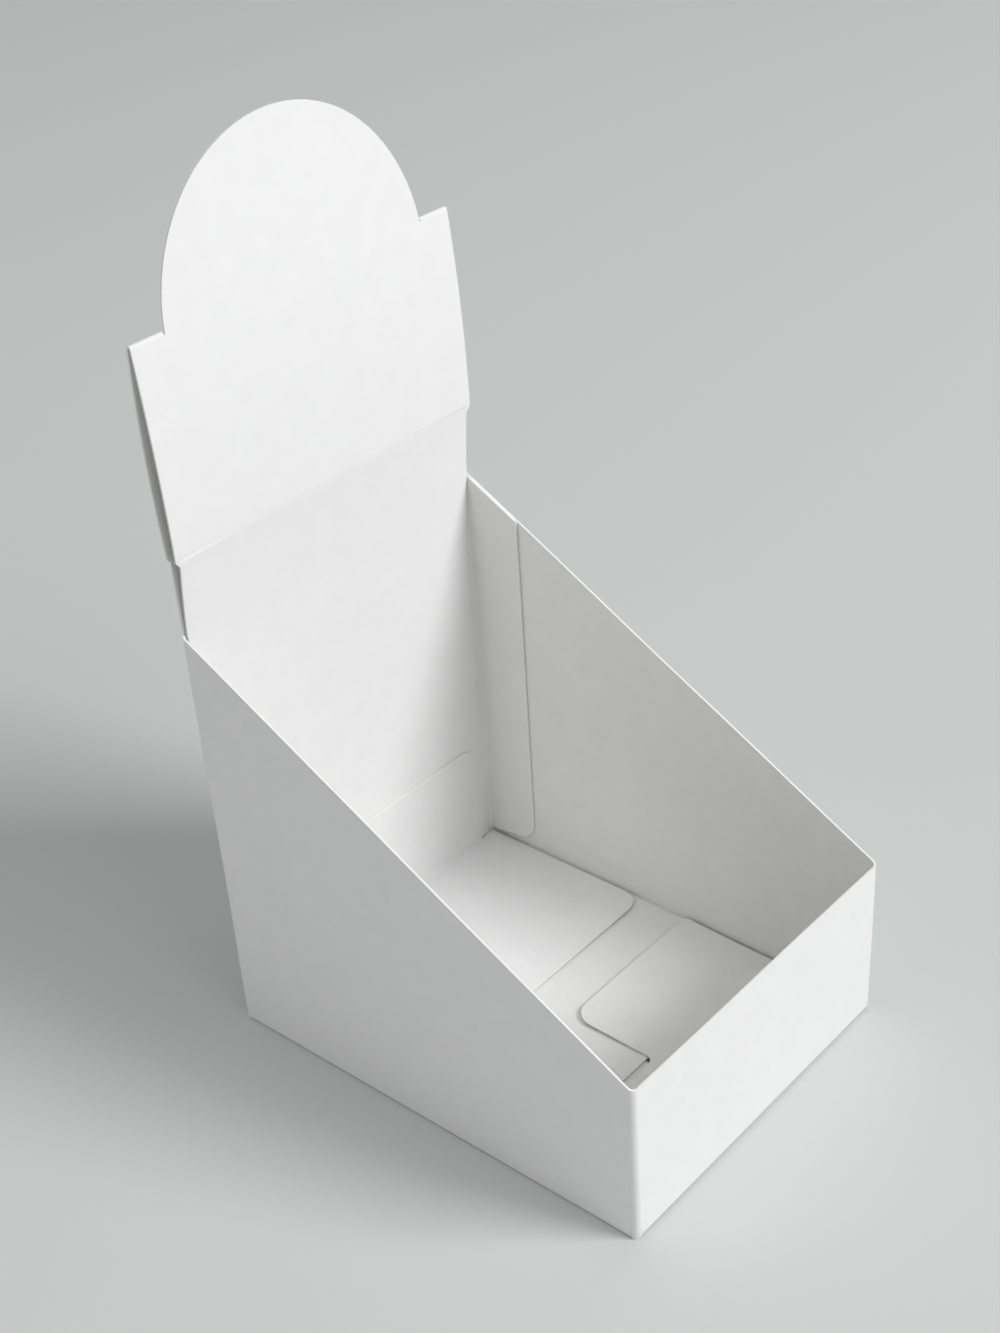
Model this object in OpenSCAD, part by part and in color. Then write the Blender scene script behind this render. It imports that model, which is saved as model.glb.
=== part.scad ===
// Counter display box folded from one sheet of white paperboard, with a loose floor liner.
// A low-fronted tray with sloping sides carries a double header that pops up into a round top.
// X runs across the front, Y from the front to the rear, Z is up. Millimetres.

/* [Board] */
// thickness of the paperboard
board_t = 0.6; // [0.4:0.05:0.7]

/* [Tray] */
// outer width across the front
tray_w = 120; // [100:1:150]
// outer depth from the front wall to the rear wall
tray_d = 156.5; // [140:0.5:190]
// height of the front wall
front_h = 57; // [46:0.5:75]
// height of the side walls where they meet the rear wall
side_h = 141.5; // [120:0.5:150]
// outer radius of the upright folds between the walls
corner_r = 2; // [2:0.1:4]
// outer radius of the folds along the foot of the walls
foot_r = 1.1; // [1:0.1:1.6]
// cut between a fold along the foot and the upright folds at its ends
relief = 0.15; // [0.1:0.05:0.4]

/* [Header] */
// height of the crease between the header and the panel that hangs inside the tray
crease_h = 165.5; // [160:0.5:185]
// height of the folds on the two shoulders
shoulder_h = 227.5; // [218:0.5:250]
// width of each shoulder beside the round top
shoulder_w = 11.7; // [8:0.1:20]
// distance from the shoulder folds down to the centre of the round top
round_drop = 2.9; // [0:0.1:12]
// backward lean of the round top, in degrees
round_lean = 6.5; // [4:0.25:8]
// outer radius of the shoulder folds
shoulder_r = 0.9; // [0.8:0.05:1.2]
// cut between the round top and the end of each shoulder fold
nick = 0.5; // [0.3:0.1:1]
// distance of the shoulder folds behind the rear wall
fold_back = 1.2; // [0.8:0.1:2]
// bow of the rear header layer between the crease and the shoulder folds
rear_bow = 1; // [0.6:0.1:1.6]
// step of the rear header layer inside the tray width, below the crease
rear_step = 1; // [0.6:0.1:2]

/* [Inner panel] */
// step on each side where the panel leaves the header
inner_step = 1.5; // [1:0.1:3]
// extra inset on each side once the panel is down between the walls
inner_inset = 2.9; // [2.4:0.1:6]
// length of the slant between the two widths
inner_slant = 25; // [15:1:30]
// clearance between the panel and the rear wall
inner_gap = 0.15; // [0.1:0.05:0.4]
// depth below the rear end of the rim at which the panel comes to lie along the rear wall
press_drop = 14; // [5:1:30]

/* [Glue flap] */
// width of the flap, from the rear wall
glue_w = 20.5; // [15:0.5:30]
// height of its lower edge at the rear wall
glue_lift = 3; // [2:0.5:6]
// slant of its lower edge, in degrees
glue_slant = 10; // [5:1:15]
// radius of its lower front corner
glue_corner_r = 6; // [2:0.5:8]
// thickness of the glue between the flap and the right wall
glue_gap = 0.15; // [0.05:0.05:0.2]
// width of the margin without glue along its lower edge
glue_margin = 4; // [1:0.5:6]
// distance of the rear edge of the right wall from the rear of the box
wall_back = 0.6; // [0.3:0.1:2]

/* [Bottom flaps] */
// clearance between a flap and the side walls
flap_gap = 1.2; // [0.9:0.1:2]
// air between flaps that lie on each other
rest_gap = 0.05; // [0.05:0.05:0.2]
// clearance between the two side flaps
side_flap_gap = 4; // [2:0.5:10]
// slant of the ends of the side flaps, in degrees
side_flap_slant = 15; // [10:1:20]
// depth of the front flap over its whole width, from the front wall
root_d = 39; // [34:0.5:42]
// length of the tongue beyond the root
tongue_l = 32; // [25:0.5:36]
// side of the tongue, measured from the middle of the box
tongue_side = 0.8; // [0:0.1:8]
// radius of the free corner of the tongue
tongue_r = 6.6; // [3:0.2:10]
// radius where the tongue leaves the root
tongue_fillet_r = 3; // [1:0.5:5]
// air under the tongue where it lies over the rear flap
lap_gap = 0.3; // [0.1:0.05:0.6]
// width of the overlap of the rear flap under the tongue
lap = 17.5; // [10:0.5:22]
// width of the overlap of its left half under the side of the tongue
lap_side = 7; // [4:0.5:12]
// gap in the floor between the root of the front flap and the rear flap
floor_gap = 2.5; // [1:0.5:5]
// depth at which the front flap begins to climb
climb_y = 10; // [7:0.5:14]

/* [Floor liner] */
// length of the floor leg, from the rear
leg_l = 66; // [50:1:68]
// clearance between the floor leg and the side walls
leg_gap = 1.4; // [1:0.1:4]
// radius of the front corners of the floor leg
leg_r = 7; // [3:0.5:12]
// height of the upstand above the rear flap
up_h = 40; // [25:1:60]
// inset of the upstand from each side of the floor leg
up_inset = 6.4; // [4:0.1:12]
// radius of the top corners of the upstand
up_r = 6; // [3:0.5:12]
// clearance between the upstand and the inner panel
liner_gap = 0.15; // [0.1:0.05:0.5]

/* [Hidden] */
$fn = 96;
// facets of the round top and of the hole it leaves
round_fn = 240;
// steps along a long shallow bend of the header and round a shoulder fold
bow_steps = 24;
fold_steps = 16;
// length over which two stretches of the sheet run into each other
seam = 2;

half_w = tray_w / 2;
// where the straight stretch of a wall ends beside an upright fold
bend_x = half_w - corner_r;
bend_y = tray_d - corner_r;
// the same for the rear wall at the right, where its fold lies inside the right wall
glue_x = bend_x - board_t - glue_gap;

// floor: the front and rear flaps lie on the side flaps, the tongue and the liner on the rear flap
flap_half = half_w - board_t - flap_gap;
flap_z = board_t + rest_gap;
floor_z = flap_z + board_t;
tongue_z = floor_z + lap_gap;
tongue_y = root_d + tongue_l;
foot_h = foot_r + 2 * seam;

// lower ends of the upright folds, beside a side wall and beside the front or rear wall
side_end = 0.3 * foot_r;
wall_end = flap_z + 0.4 * foot_r;

// inner panel: its front face, its two widths, and the height below which it follows the rear wall
inner_y = tray_d - 2 * board_t - inner_gap;
inner_half = half_w - inner_step;
low_half = inner_half - inner_inset;
press_h = side_h - press_drop;

// rear header layer: an arc from the crease to the shoulder folds
fold_y = tray_d + fold_back;
fold_z = shoulder_h - shoulder_r;
chord_z = fold_z - crease_h;
chord = norm([fold_back, chord_z]);
rear_r = (chord * chord / 4 + rear_bow * rear_bow) / (2 * rear_bow);
rear_half = asin(chord / 2 / rear_r);
chord_lean = atan(fold_back / chord_z);
foot_lean = chord_lean + rear_half;
top_lean = chord_lean - rear_half;
rear_c = [fold_y, fold_z] - rear_r * [cos(top_lean), -sin(top_lean)];

// shoulder folds and the line where the round top springs from them
fold_c = [fold_y, fold_z] - shoulder_r * [cos(top_lean), -sin(top_lean)];
spring = fold_c + shoulder_r * [-cos(round_lean), sin(round_lean)];

// front header layer: an arc that is upright at the crease and leans with the round top above
front_r = (spring[1] - crease_h) / sin(round_lean);
front_c = [spring[0] + front_r * cos(round_lean), crease_h];

// upper part of the inner panel: an arc from the crease back to the rear wall
hang_y = inner_y - front_c[0] + front_r;
hang_z = crease_h - press_h;
hang_r = (hang_y * hang_y + hang_z * hang_z) / (2 * hang_y);
hang_lean = asin(hang_z / hang_r);

// round top
round_half = half_w - shoulder_w;
round_r = norm([round_half, round_drop]);
overall_d = spring[0] + (round_r - round_drop) * sin(round_lean) + board_t * cos(round_lean);

// floor liner
leg_half = half_w - board_t - leg_gap;
up_half = leg_half - up_inset;
up_y = inner_y - liner_gap;

// height of the rim at depth y: level over the front wall, sloping behind it
function rim(y) = front_h + (side_h - front_h) * max(y - board_t, 0) / (tray_d - board_t);

// list a from its last entry to its first
function reversed(a) = [for (i = [len(a) - 1:-1:0]) a[i]];

// points along an arc about c, angles from the first axis towards the second
function arc(c, r, a0, a1, steps) =
    [for (i = [0:steps]) let (a = a0 + (a1 - a0) * i / steps) c + r * [cos(a), sin(a)]];

// the three bends of the header in the YZ plane, from the rear crease over to the front crease;
// inset 0 is the outer face of the board and inset board_t its inner face
function rear_bend(inset) = arc(rear_c, rear_r - inset, -foot_lean, -top_lean, bow_steps);
function fold_bend(inset) = arc(fold_c, shoulder_r - inset, -top_lean, 180 - round_lean, fold_steps);
function front_bend(inset) = arc(front_c, front_r - inset, 180 - round_lean, 180, bow_steps);

// bend of the inner panel, from just under the front crease down to the rear wall
function hang_bend(inset) =
    [for (i = [1:bow_steps]) let (a = hang_lean * (1 - i / bow_steps))
        [inner_y + inset + hang_r * (cos(a) - 1), press_h + hang_r * sin(a)]];

// unit vector from a to b
function toward(a, b) = (b - a) / norm(b - a);

// half of the angle at corner p between q and s
function half_angle(p, q, s) = acos(toward(p, q) * toward(p, s)) / 2;

// where a circle of radius r inside the corner touches the edge from p to q
function touch(p, q, s, r) = p + toward(p, q) * r / tan(half_angle(p, q, s));

// centre of that circle
function inside(p, q, s, r) =
    p + toward([0, 0], toward(p, q) + toward(p, s)) * r / sin(half_angle(p, q, s));

// waste between a square corner q, p, s and its rounding
module corner_waste(p, q, s, r)
    difference() {
        polygon([p, touch(p, q, s, r), touch(p, s, q, r)]);
        translate(inside(p, q, s, r))
            circle(r);
    }

// rectangle from corner p to corner q; radii go round from p anticlockwise
module block(p, q, radii) {
    c = [p, [q[0], p[1]], q, [p[0], q[1]]];
    difference() {
        polygon(c);
        for (i = [0:3])
            if (radii[i] > 0)
                corner_waste(c[i], c[(i + 3) % 4], c[(i + 1) % 4], radii[i]);
    }
}

// section of a sheet folded along the inside of such a rectangle; it has a side where the list
// [left, lower, right, upper] says so
module folded(p, q, radii, sides) {
    inset = [for (s = sides) s ? board_t : -1];
    difference() {
        block(p, q, radii);
        block(
            p + [inset[0], inset[1]],
            q - [inset[2], inset[3]],
            [for (r = radii) max(r - board_t, 0)]
        );
    }
}

// solid between x0 and x1 whose section in the YZ plane is the child
module along_x(x0, x1)
    translate([x0, 0, 0])
        rotate([90, 0, 90])
            linear_extrude(x1 - x0)
                children();

// solid between y0 and y1 whose outline in the XZ plane is the child
module along_y(y0, y1)
    translate([0, y1, 0])
        rotate([90, 0, 0])
            linear_extrude(y1 - y0)
                children();

// all that lies above the rim
module above_rim()
    along_x(-tray_w, tray_w)
        polygon([
            [-tray_d, rim(-tray_d)],
            [board_t, rim(board_t)],
            [2 * tray_d, rim(2 * tray_d)],
            [2 * tray_d, 3 * side_h],
            [-tray_d, 3 * side_h]
        ]);

// all that lies below the lower ends of the upright folds
module below_ends()
    along_x(-tray_w, tray_w)
        polygon([
            [-seam, -seam],
            [tray_d + seam, -seam],
            [tray_d + seam, wall_end],
            [tray_d, wall_end],
            [bend_y, side_end],
            [corner_r, side_end],
            [0, wall_end],
            [-seam, wall_end]
        ]);

// front, side and rear walls with the upright folds between them, open at the rear right corner
module walls() {
    r = corner_r;
    side_z = foot_r + seam;
    end_z = flap_z + side_z;
    difference() {
        linear_extrude(2 * side_h) {
            difference() {
                folded([-half_w, 0], [half_w, tray_d], [r, r, r, r], [true, true, true, true]);
                translate([glue_x, bend_y])
                    square(2 * r);
            }
            translate([half_w - board_t, bend_y - seam])
                square([board_t, r + seam - wall_back]);
        }
        above_rim();
        below_ends();
        for (m = [0, 1])
            mirror([m, 0, 0])
                translate([half_w - 2 * board_t, r, -seam])
                    cube([4 * board_t, bend_y - r, seam + side_z]);
        translate([-bend_x, -2 * board_t, -seam])
            cube([2 * bend_x, 4 * board_t, seam + end_z]);
        translate([-bend_x, tray_d - 2 * board_t, -seam])
            cube([bend_x + glue_x, 4 * board_t, seam + end_z]);
    }
}

// section of the rear wall, the fold at its right end and the flap beyond
module glue_section()
    folded(
        [0, 0],
        [half_w - board_t - glue_gap, tray_d],
        [0, 0, corner_r, 0],
        [false, false, true, true]
    );

// side view of the glue flap, and of the fold behind it above the lower edge
module glue_outline() {
    y0 = tray_d - glue_w;
    z0 = glue_lift + (bend_y - y0) * tan(glue_slant);
    z1 = 2 * side_h;
    along_x(0, tray_w)
        difference() {
            polygon([
                [y0, z0],
                [bend_y, glue_lift],
                [tray_d + seam, glue_lift],
                [tray_d + seam, z1],
                [y0, z1]
            ]);
            corner_waste([y0, z0], [bend_y, glue_lift], [y0, z1], glue_corner_r);
        }
}

// flap of the rear wall, folded in and glued to the inner face of the right wall
module glue_flap() {
    y0 = tray_d - glue_w;
    z1 = 2 * side_h;
    bite = board_t / 4;
    difference() {
        union() {
            intersection() {
                linear_extrude(z1)
                    intersection() {
                        glue_section();
                        translate([glue_x - seam, y0])
                            square(glue_w + seam);
                    }
                glue_outline();
            }
            intersection() {
                translate([half_w - board_t - glue_gap - bite, y0 + 1, 0])
                    cube([glue_gap + 2 * bite, bend_y - y0 - 2, z1]);
                translate([0, 0, glue_margin])
                    glue_outline();
            }
        }
        above_rim();
    }
    translate([0, 0, wall_end])
        linear_extrude(glue_lift + seam - wall_end)
            intersection() {
                glue_section();
                translate([glue_x, bend_y])
                    square(2 * corner_r);
            }
}

// rear wall above the tray and rear layer of the header, with the hole left by the round top
module rear_sheet() {
    free_z = side_h + 0.3;
    low_z = side_h - 10 * seam;
    wide = half_w - rear_step;
    intersection() {
        along_x(-tray_w, tray_w)
            polygon(concat(
                [[tray_d, low_z]],
                rear_bend(0),
                reversed(rear_bend(board_t)),
                [[tray_d - board_t, crease_h], [tray_d - board_t, low_z]]
            ));
        along_y(tray_d - 10, tray_d + 10)
            difference() {
                polygon([
                    [-bend_x, 0],
                    [glue_x, 0],
                    [glue_x, free_z],
                    [wide, free_z],
                    [wide, crease_h - rear_step],
                    [half_w, crease_h],
                    [half_w, shoulder_h],
                    [-half_w, shoulder_h],
                    [-half_w, crease_h],
                    [-wide, crease_h - rear_step],
                    [-wide, free_z],
                    [-bend_x, free_z]
                ]);
                translate([0, fold_z + round_drop])
                    circle(round_r, $fn = round_fn);
            }
    }
}

// folds of the two shoulders, from one layer of the header over to the other
module shoulder_folds()
    for (m = [0, 1])
        mirror([m, 0, 0])
            along_x(round_half + nick, half_w)
                polygon(concat(
                    [rear_bend(0)[bow_steps - 1]],
                    fold_bend(0),
                    [front_bend(0)[1]],
                    [front_bend(board_t)[1]],
                    reversed(fold_bend(board_t)),
                    [rear_bend(board_t)[bow_steps - 1]]
                ));

// hanging inner panel, front layer of the header and round top
module front_sheet() {
    foot_z = flap_z + foot_r + 0.3;
    slant_z = side_h;
    neck_z = crease_h - 2;
    up = tray_w * [sin(round_lean), cos(round_lean)];
    intersection() {
        along_x(-tray_w, tray_w)
            polygon(concat(
                [spring + up],
                front_bend(0),
                hang_bend(0),
                [[inner_y, foot_z], [inner_y + board_t, foot_z]],
                reversed(hang_bend(board_t)),
                reversed(front_bend(board_t)),
                [front_bend(board_t)[0] + up]
            ));
        union() {
            along_y(0, 2 * tray_d)
                polygon([
                    [half_w, spring[1]],
                    [half_w, crease_h],
                    [inner_half, neck_z],
                    [inner_half, slant_z],
                    [low_half, slant_z - inner_slant],
                    [low_half, 0],
                    [-low_half, 0],
                    [-low_half, slant_z - inner_slant],
                    [-inner_half, slant_z],
                    [-inner_half, neck_z],
                    [-half_w, crease_h],
                    [-half_w, spring[1]]
                ]);
            translate([0, spring[0], spring[1]])
                rotate([90 - round_lean, 0, 0])
                    translate([0, -round_drop, -5])
                        cylinder(10, r = round_r, $fn = round_fn);
        }
    }
}

// foot of the side walls and the side flaps, lowest of the four
module side_feet() {
    x0 = side_flap_gap / 2;
    x1 = half_w - foot_r;
    y0 = corner_r + relief;
    y1 = bend_y - relief;
    cut = (x1 - x0) * tan(side_flap_slant);
    intersection() {
        along_y(y0, y1)
            folded([-half_w, 0], [half_w, foot_h], [foot_r, foot_r, 0, 0], [true, true, true, false]);
        linear_extrude(2 * foot_h)
            for (m = [0, 1])
                mirror([m, 0])
                    polygon([
                        [half_w + 1, y0],
                        [half_w + 1, y1],
                        [x1, y1],
                        [x0, y1 - cut],
                        [x0, y0 + cut],
                        [x1, y0]
                    ]);
    }
}

// outline of the rear flap, whose right half runs under the tongue, and of the fold behind it
module rear_flap_outline() {
    y0 = root_d + floor_gap;
    y1 = tongue_y - lap;
    split_x = lap_side - tongue_side;
    polygon([
        [-flap_half, y0],
        [split_x, y0],
        [split_x, y1],
        [flap_half, y1],
        [flap_half, bend_y],
        [glue_x - relief, bend_y],
        [glue_x - relief, tray_d + 1],
        [relief - bend_x, tray_d + 1],
        [relief - bend_x, bend_y],
        [-flap_half, bend_y]
    ]);
}

// outline of the level part of the front flap and of the fold before it
module front_flap_outline()
    polygon([
        [relief - bend_x, -1],
        [bend_x - relief, -1],
        [bend_x - relief, corner_r],
        [flap_half, corner_r],
        [flap_half, climb_y],
        [-flap_half, climb_y],
        [-flap_half, corner_r],
        [relief - bend_x, corner_r]
    ]);

// foot of the front and rear walls and their level flaps, on the side flaps
module end_feet()
    intersection() {
        along_x(-flap_half, flap_half)
            folded(
                [0, flap_z],
                [tray_d, flap_z + foot_h],
                [foot_r, foot_r, 0, 0],
                [true, true, true, false]
            );
        linear_extrude(2 * foot_h) {
            rear_flap_outline();
            front_flap_outline();
        }
    }

// rest of the front flap, which climbs to lay its tongue over the rear flap
module tongue() {
    level_y = root_d - 4;
    tip = [-tongue_side, tongue_y];
    crook = [-tongue_side, root_d];
    end = [flap_half, tongue_y];
    intersection() {
        along_x(-tray_w, tray_w)
            polygon([
                [climb_y - seam, flap_z],
                [climb_y, flap_z],
                [level_y, tongue_z],
                [tongue_y + 1, tongue_z],
                [tongue_y + 1, tongue_z + board_t],
                [level_y, tongue_z + board_t],
                [climb_y, floor_z],
                [climb_y - seam, floor_z]
            ]);
        linear_extrude(2 * foot_h)
            difference() {
                union() {
                    polygon([
                        [-flap_half, corner_r],
                        [flap_half, corner_r],
                        end,
                        tip,
                        crook,
                        [-flap_half, root_d]
                    ]);
                    corner_waste(crook, tip, [-flap_half, root_d], tongue_fillet_r);
                }
                corner_waste(tip, crook, end, tongue_r);
                corner_waste(end, tip, [flap_half, corner_r], 2);
            }
    }
}

// puts the middle of the whole depth over the origin
module centred()
    translate([0, -overall_d / 2, 0])
        children();

// the box: one folded sheet
module display_box()
    color("white")
        centred() {
            walls();
            glue_flap();
            rear_sheet();
            shoulder_folds();
            front_sheet();
            side_feet();
            end_feet();
            tongue();
        }

// level ends of the liner's floor leg beside the upstand
module ears()
    for (m = [0, 1])
        mirror([m, 0, 0])
            translate([up_half + 2 * relief, up_y - foot_r - seam, floor_z])
                cube([up_inset - 2 * relief, foot_r + seam - liner_gap, board_t]);

// the liner: an L-shaped sheet that rests on the rear flap
module floor_liner() {
    y0 = up_y - leg_l;
    y1 = up_y - foot_r;
    z1 = floor_z + up_h;
    color("whitesmoke")
        centred() {
            intersection() {
                along_x(-leg_half, leg_half)
                    folded([y0, floor_z], [up_y, z1], [0, foot_r, 0, 0], [false, true, true, false]);
                union() {
                    linear_extrude(floor_z + 2 * board_t)
                        block([-leg_half, y0], [leg_half, y1], [leg_r, leg_r, 0, 0]);
                    along_y(y1 - seam, up_y + 1)
                        block([-up_half, 0], [up_half, z1], [0, 0, up_r, up_r]);
                }
            }
            ears();
        }
}

display_box();
floor_liner();
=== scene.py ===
import bpy
import bmesh
import math
from mathutils import Matrix, Vector, noise
from mathutils.bvhtree import BVHTree


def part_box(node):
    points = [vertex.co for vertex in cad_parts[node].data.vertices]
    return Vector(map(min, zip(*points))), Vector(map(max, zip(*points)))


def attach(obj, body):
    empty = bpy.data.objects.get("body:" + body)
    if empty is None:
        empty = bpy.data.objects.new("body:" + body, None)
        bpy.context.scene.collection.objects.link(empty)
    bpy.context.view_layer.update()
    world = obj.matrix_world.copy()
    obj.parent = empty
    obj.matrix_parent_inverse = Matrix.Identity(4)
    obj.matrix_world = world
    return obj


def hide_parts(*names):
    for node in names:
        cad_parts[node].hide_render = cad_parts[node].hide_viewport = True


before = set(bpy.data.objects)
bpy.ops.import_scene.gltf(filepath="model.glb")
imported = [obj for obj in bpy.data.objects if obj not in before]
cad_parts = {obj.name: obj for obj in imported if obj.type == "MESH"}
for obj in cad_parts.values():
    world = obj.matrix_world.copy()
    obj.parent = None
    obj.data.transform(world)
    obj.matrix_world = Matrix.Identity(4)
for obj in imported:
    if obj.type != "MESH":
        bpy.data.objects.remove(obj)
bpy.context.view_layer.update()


# The box: one sheet of white folding boxboard, 0.6 mm thick, die-cut, scored, folded and glued along
# one flap. The outside of the sheet is clay coated. It runs up the back, over the two shoulders and
# down the front of the header, so the panel that hangs inside the tray shows the coated side too.
board = 0.0006
tray_depth = 0.1565
front_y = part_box("display_box")[0].y
rear_y = front_y + tray_depth
half_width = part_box("display_box")[1].x
crease_z = 0.1655
shoulder_z = 0.2275
rim_z = crease_z - 0.024
half_score = 0.0006


def folded_sheet(name):
    """A copy of a CAD sheet, with the points that lie on each other merged."""
    weld = 4e-6
    sheet = bmesh.new()
    sheet.from_mesh(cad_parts[name].data)
    bmesh.ops.remove_doubles(sheet, verts=sheet.verts, dist=weld)
    return sheet


def rows(low, high):
    """Places 8 mm apart, from low up to high."""
    gap = 0.008
    return [low + gap * i for i in range(int((high - low) / gap) + 1)]


def cut_rows(sheet, axis, places):
    """Cuts the sheet across an axis, so that it can bend there."""
    for place in places:
        point, normal = Vector(), Vector()
        point[axis], normal[axis] = place, 1
        geom = sheet.verts[:] + sheet.edges[:] + sheet.faces[:]
        bmesh.ops.bisect_plane(sheet, geom=geom, dist=1e-6, plane_co=point, plane_no=normal)


def cut_faces(sheet):
    """Faces of the cut edges: behind them the board goes on for more than two thicknesses."""
    below_skin = 2e-5
    tree = BVHTree.FromBMesh(sheet)
    found = set()
    for face in sheet.faces:
        inward = -face.normal
        start = face.calc_center_median() + inward * below_skin
        distance = tree.ray_cast(start, inward)[3]
        if distance is None or distance > 2.3 * board:
            found.add(face)
    return found


def is_coated(middle, normal):
    """Whether a face of the box, given by its middle and its normal, is on the coated side."""
    near = 0.0005
    corner_reach, foot_reach, header_reach = 0.0021, 0.0013, 0.0045
    foot_z, bow_z = 0.003, crease_z + 0.012
    half_depth = 0.078
    side = math.copysign(1, middle.x)
    at_corner = abs(middle.x) > half_width - corner_reach and middle.y > rear_y - corner_reach
    # the round top has its coated side in front, the shoulder folds have it on top and behind
    if middle.z > shoulder_z - near:
        on_fold = normal.z > 0.5 or middle.y > rear_y + near
        return normal.y < 0 or middle.z < shoulder_z + 2 * near and on_fold
    # the upright folds at the rear and the fold at the foot of the rear wall
    if at_corner and middle.z < rim_z:
        return normal.y + side * normal.x > 0
    if middle.z < foot_z and middle.y > rear_y - foot_reach:
        return normal.y - normal.z > 0
    # the rear wall, the layers of the header and the hanging panel
    if middle.y > rear_y - header_reach:
        if abs(normal.y) <= 0.5:
            at_side = abs(middle.x) > half_width - 0.9 * board
            return at_side and normal.x * side > 0 or normal.z < -0.5
        hangs = middle.y < rear_y - 0.9 * board
        outer_y = rear_y + (near if middle.z > bow_z else -0.3 * board)
        return normal.y < -0.5 and hangs or normal.y > 0.5 and middle.y > outer_y
    # the rest of the tray and the bottom flaps
    out = Vector((middle.x / half_width, (middle.y - front_y) / half_depth - 1, 0))
    return normal.z < -0.5 or normal.dot(out) > 0.3


def mark_folds(sheet, cuts, crease=None):
    """Writes how sharply the board is bent at each face, for the strained fibres along the folds."""
    crease_bend, least_bend = 0.7, 0.1
    fold = sheet.faces.layers.float.new("fold")
    for face in sheet.faces:
        bend = min(4 * (1 - max(abs(c) for c in face.normal)), 1)
        if crease and abs(face.calc_center_median().z - crease) < half_score:
            bend = crease_bend
        face[fold] = 0 if face in cuts or bend < least_bend else bend


def warp(sheet):
    """Board never lies quite flat: a slow wave of up to 0.3 mm that dies out towards the table."""
    height, waves_per_metre = 0.0005, 13
    start = Vector((3.1, 1.7, 5.2))
    still_z, fade = 0.002, 0.03
    noise.seed_set(1667)
    for v in sheet.verts:
        amount = height * min(max((v.co.z - still_z) / fade, 0), 1)
        v.co += noise.noise_vector(v.co * waves_per_metre + start) * amount


def soft_shading(sheet):
    """Smooth shading round the folds, with a hard line at every cut edge."""
    hard = math.radians(24)
    for face in sheet.faces:
        face.smooth = True
    for edge in sheet.edges:
        edge.smooth = edge.is_manifold and edge.calc_face_angle(0) < hard


def placed(sheet, name):
    """Makes a finished bmesh an object of the scene."""
    mesh = bpy.data.meshes.new(name)
    sheet.to_mesh(mesh)
    sheet.free()
    piece = bpy.data.objects.new(name, mesh)
    bpy.context.collection.objects.link(piece)
    return piece


box_sheet = folded_sheet("display_box")
cut_rows(box_sheet, 0, rows(-0.056, 0.056))
cut_rows(box_sheet, 1, rows(front_y + 0.008, rear_y - 0.006))
cut_rows(box_sheet, 2, rows(0.010, 0.268) + [0.005, 0.0075])
cut_rows(box_sheet, 2, [crease_z - half_score, crease_z, crease_z + half_score])
box_cuts = cut_faces(box_sheet)
for face in box_sheet.faces:
    if face in box_cuts:
        face.material_index = 2
    else:
        face.material_index = 0 if is_coated(face.calc_center_median(), face.normal) else 1
mark_folds(box_sheet, box_cuts, crease_z)

# the score under the header: a line dented about 0.1 mm, where the board was pressed before folding
dent, back_dent = 0.00011, 0.00008
for v in box_sheet.verts:
    if abs(v.co.z - crease_z) < 1e-5 and v.co.y > rear_y - 0.02:
        v.co.y += dent if v.co.y < rear_y - 0.9 * board else -back_dent

# the tongue of the front flap lies loose on the rear flap and springs up towards its free edge
tongue_y, tongue_length, tongue_lift = front_y + 0.035, 0.036, 0.0008
for v in box_sheet.verts:
    reach = (v.co.y - tongue_y) / tongue_length
    if 0 < reach < 1.05 and 0.0014 < v.co.z < 0.003 and -0.002 < v.co.x < 0.0583:
        v.co.z += tongue_lift * reach ** 2

# the lowest 4 mm of the glue flap got no glue and stands off the right wall
flap_foot, flap_slant, flap_margin, stand_off = 0.003, math.radians(10), 0.004, 0.0006
for v in box_sheet.verts:
    back = rear_y - 0.002 - v.co.y
    if -0.0001 < back < 0.0186 and half_width - 2.4 * board < v.co.x < half_width - 1.1 * board:
        free = 1 - (v.co.z - flap_foot - back * math.tan(flap_slant)) / flap_margin
        v.co.x -= stand_off * min(max(free, 0), 1) ** 2

warp(box_sheet)
soft_shading(box_sheet)
folded_box = placed(box_sheet, "folded_box")


def linear(hex_colour):
    """An sRGB hex colour as linear RGBA."""
    parts = [int(hex_colour[i:i + 2], 16) / 255 for i in (1, 3, 5)]
    return [c / 12.92 if c <= 0.04045 else ((c + 0.055) / 1.055) ** 2.4 for c in parts] + [1]


def node(tree, kind, inputs, **settings):
    """Adds a node. An input, by its name or number, is a value or the output of another node."""
    added = tree.nodes.new(kind)
    for name, value in settings.items():
        setattr(added, name, value)
    for key, value in inputs.items():
        if isinstance(value, bpy.types.NodeSocket):
            tree.links.new(value, added.inputs[key])
        else:
            added.inputs[key].default_value = value
    return added


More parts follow.
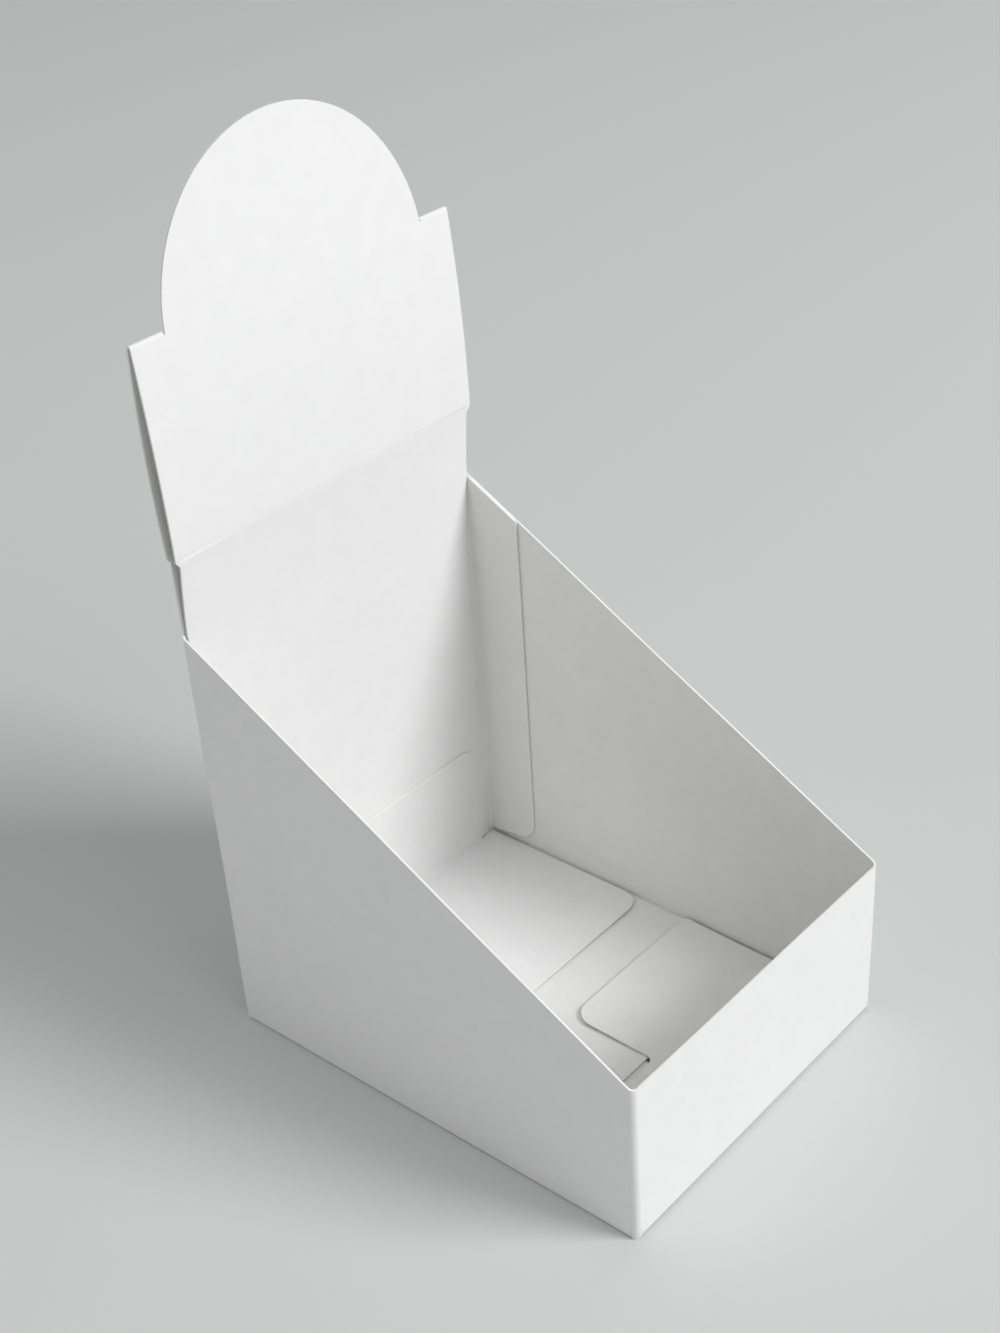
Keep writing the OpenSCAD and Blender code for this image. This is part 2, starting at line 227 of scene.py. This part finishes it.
def paperboard(name, pale, deep, roughness, fibre_depth):
    """Pressed paper fibre: cloudy in tone over some millimetres, with short fibres along the grain."""
    cloud_size, felt_size, wrinkle_size = 0.007, 0.0009, 0.0006
    # real fibres are 1 to 2 mm long and 0.03 mm wide; these are wider, so that they show
    fibre_length, fibre_width = 0.0022, 0.00035
    material = bpy.data.materials.new(name)
    material.use_nodes = True
    tree = material.node_tree
    shader = tree.nodes["Principled BSDF"]
    shader.inputs["IOR"].default_value = 1.5
    shader.inputs["Specular IOR Level"].default_value = 0.3

    def patches(vector, scale, detail, contrast, distortion=0):
        """Cloudy noise."""
        return node(tree, "ShaderNodeTexNoise", {
            "Vector": vector, "Scale": scale, "Detail": detail,
            "Roughness": contrast, "Distortion": distortion,
        }).outputs[0]

    def weighted(value, weight, rest):
        """The value times its weight, plus the rest."""
        inputs = {0: value, 1: weight, 2: rest}
        return node(tree, "ShaderNodeMath", inputs, operation="MULTIPLY_ADD").outputs[0]

    # the formation of the sheet, the fibres, and the felt mark of the paper machine
    place = node(tree, "ShaderNodeTexCoord", {}).outputs["Object"]
    cloud = patches(place, 1 / cloud_size, 3, 0.55)
    stretch = (1 / fibre_length, 1 / fibre_length, 1 / fibre_width)
    grain = node(tree, "ShaderNodeMapping", {"Vector": place, "Scale": stretch}).outputs[0]
    fibre = patches(grain, 1, 2, 0.6, 0.8)
    felt = patches(place, 1 / felt_size, 2, 0.5)

    # the tone; a Mix node has its colours at inputs 6 and 7 and at output 2
    spread = {"Value": weighted(fibre, 0.35, cloud), "From Min": 0.45, "From Max": 0.9}
    share = node(tree, "ShaderNodeMapRange", spread).outputs[0]
    colours = {0: share, 6: linear(deep), 7: linear(pale)}
    tone = node(tree, "ShaderNodeMix", colours, data_type="RGBA").outputs[2]
    tree.links.new(tone, shader.inputs["Base Color"])
    spread = {"Value": fibre, "From Min": 0.3, "From Max": 0.7,
              "To Min": roughness - 0.05, "To Max": roughness + 0.05}
    gloss = node(tree, "ShaderNodeMapRange", spread).outputs[0]
    tree.links.new(gloss, shader.inputs["Roughness"])

    # the relief; along the folds the coating is strained into small wrinkles
    fold = node(tree, "ShaderNodeAttribute", {}, attribute_name="fold").outputs["Fac"]
    cells = {"Vector": place, "Scale": 1 / wrinkle_size}
    wrinkle = node(tree, "ShaderNodeTexVoronoi", cells, feature="DISTANCE_TO_EDGE").outputs[0]
    strained = node(tree, "ShaderNodeMath", {0: wrinkle, 1: fold}, operation="MULTIPLY").outputs[0]
    relief = weighted(strained, 4, weighted(felt, 0.8, fibre))
    bumps = {"Height": relief, "Strength": 1, "Distance": fibre_depth}
    tree.links.new(node(tree, "ShaderNodeBump", bumps).outputs[0], shader.inputs["Normal"])
    return material


# clay-coated outside: bright and even, a faint sheen, the fibres just telegraph through the coating
coated_board = paperboard("clay_coated_board", "#EDEDED", "#EAEAEA", 0.55, 0.000006)
# uncoated inside: the same white pulp, a little warmer, rougher and cloudier
uncoated_board = paperboard("uncoated_board", "#ECECEB", "#E8E8E7", 0.8, 0.000010)
# die-cut edge: torn fibre ends, matt and soft
cut_board = paperboard("die_cut_board_edge", "#F2F2F1", "#EBEBEA", 0.9, 0.000020)
for material in (coated_board, uncoated_board, cut_board):
    folded_box.data.materials.append(material)
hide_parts("display_box")
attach(folded_box, "root")


# The liner: a second sheet of the same board, folded to an L and not glued. Its leg lies on the rear
# bottom flap and its upstand leans on the hanging panel.
liner_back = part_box("floor_liner")[1].y
liner_sheet = folded_sheet("floor_liner")
cut_rows(liner_sheet, 0, rows(-0.056, 0.056))
cut_rows(liner_sheet, 1, rows(front_y + 0.096, rear_y - 0.006))
cut_rows(liner_sheet, 2, rows(0.010, 0.040))
liner_cuts = cut_faces(liner_sheet)
for face in liner_sheet.faces:
    if face in liner_cuts:
        face.material_index = 2
    else:
        face.material_index = 1 if face.normal.z < -0.3 or face.normal.y > 0.3 else 0
mark_folds(liner_sheet, liner_cuts)

# the leg rests at its fold and springs up a little at its front edge
leg_top, leg_fold, leg_length, leg_lift = 0.0035, liner_back - 0.004, 0.062, 0.0005
for v in liner_sheet.verts:
    if v.co.z < leg_top:
        v.co.z += leg_lift * (max(leg_fold - v.co.y, 0) / leg_length) ** 2

warp(liner_sheet)
soft_shading(liner_sheet)
folded_liner = placed(liner_sheet, "folded_liner")
for material in (coated_board, uncoated_board, cut_board):
    folded_liner.data.materials.append(material)
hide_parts("floor_liner")
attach(folded_liner, "root")


# The table: a plain pale surface, matt and not part of the object. It lies a hair under the box, so
# that the two never share a plane.
table = bmesh.new()
bmesh.ops.create_circle(table, cap_ends=True, segments=96, radius=2.6)
table_top = placed(table, "table")
table_top.location.z = -0.00002
table_paint = bpy.data.materials.new("pale_table")
table_paint.use_nodes = True
table_shader = table_paint.node_tree.nodes["Principled BSDF"]
table_shader.inputs["Base Color"].default_value = linear("#D4D6D5")
table_shader.inputs["Roughness"].default_value = 0.9
table_top.data.materials.append(table_paint)


# The light: a large soft box in front and to the right, weaker ones in front, above and behind on the
# left, and a pale room that fills the shadows.
bpy.context.scene.view_settings.view_transform = "Standard"
room = bpy.data.worlds.new("room")
room.use_nodes = True
room_tree = room.node_tree
room_light = room_tree.nodes["Background"]
room_light.inputs["Color"].default_value = linear("#F5F5F5")
room_light.inputs["Strength"].default_value = 0.31
# the camera and the reflections see a pale wall instead, which adds no light to the box
wall = node(room_tree, "ShaderNodeBackground", {"Color": linear("#DCDDDC"), "Strength": 1}).outputs[0]
path = node(room_tree, "ShaderNodeLightPath", {}).outputs
seen = path["Is Camera Ray"]
for ray in ("Is Glossy Ray", "Is Transmission Ray"):
    seen = node(room_tree, "ShaderNodeMath", {0: seen, 1: path[ray]}, operation="ADD").outputs[0]
both = node(room_tree, "ShaderNodeMixShader", {0: seen, 1: room_light.outputs[0], 2: wall}).outputs[0]
room_tree.links.new(both, room_tree.nodes["World Output"].inputs["Surface"])
bpy.context.scene.world = room
aim = Vector((0, 0, 0.10))
for name, towards, distance, size, power in (
    ("soft_box", Vector((0.40, -0.86, 0.72)), 4.0, 1.6, 110),
    ("front_fill", Vector((-0.10, -0.95, 0.80)), 4.0, 1.8, 17),
    ("top_box", Vector((0.0, 0.05, 1.0)), 3.5, 1.7, 12),
    ("left_fill", Vector((-1.0, 0.45, 0.25)), 3.0, 1.7, 10),
):
    lamp = bpy.data.lights.new(name, "AREA")
    lamp.size = size
    lamp.energy = power
    light = bpy.data.objects.new(name, lamp)
    light.location = aim + towards.normalized() * distance
    light.rotation_euler = towards.to_track_quat("Z", "Y").to_euler()
    bpy.context.collection.objects.link(light)


# The camera: to the left of the front, looking down about 35 degrees, as in the photograph. The focal
# length and the point it looks at squarely were fitted to the photo's straight edges, in its pixels.
photo_width, photo_height = 1000, 1333
focal_px, centre_x_px, centre_y_px = 2054.85, 621.12, 750.43
heading, down, roll = -0.891560, 0.612489, -0.031513
lens = bpy.data.cameras.new("camera")
lens.sensor_width = 36
lens.lens = focal_px / photo_height * 36
lens.shift_x = (photo_width / 2 - centre_x_px) / photo_height
lens.shift_y = (centre_y_px - photo_height / 2) / photo_height
lens.clip_start = 0.01
camera = bpy.data.objects.new("camera", lens)
camera.location = (-0.362367, front_y - 0.243729, 0.439919)
turn = Matrix.Rotation(heading, 3, "Z") @ Matrix.Rotation(math.pi / 2 - down, 3, "X")
camera.rotation_euler = (turn @ Matrix.Rotation(roll, 3, "Z")).to_euler()
bpy.context.collection.objects.link(camera)
bpy.context.scene.camera = camera
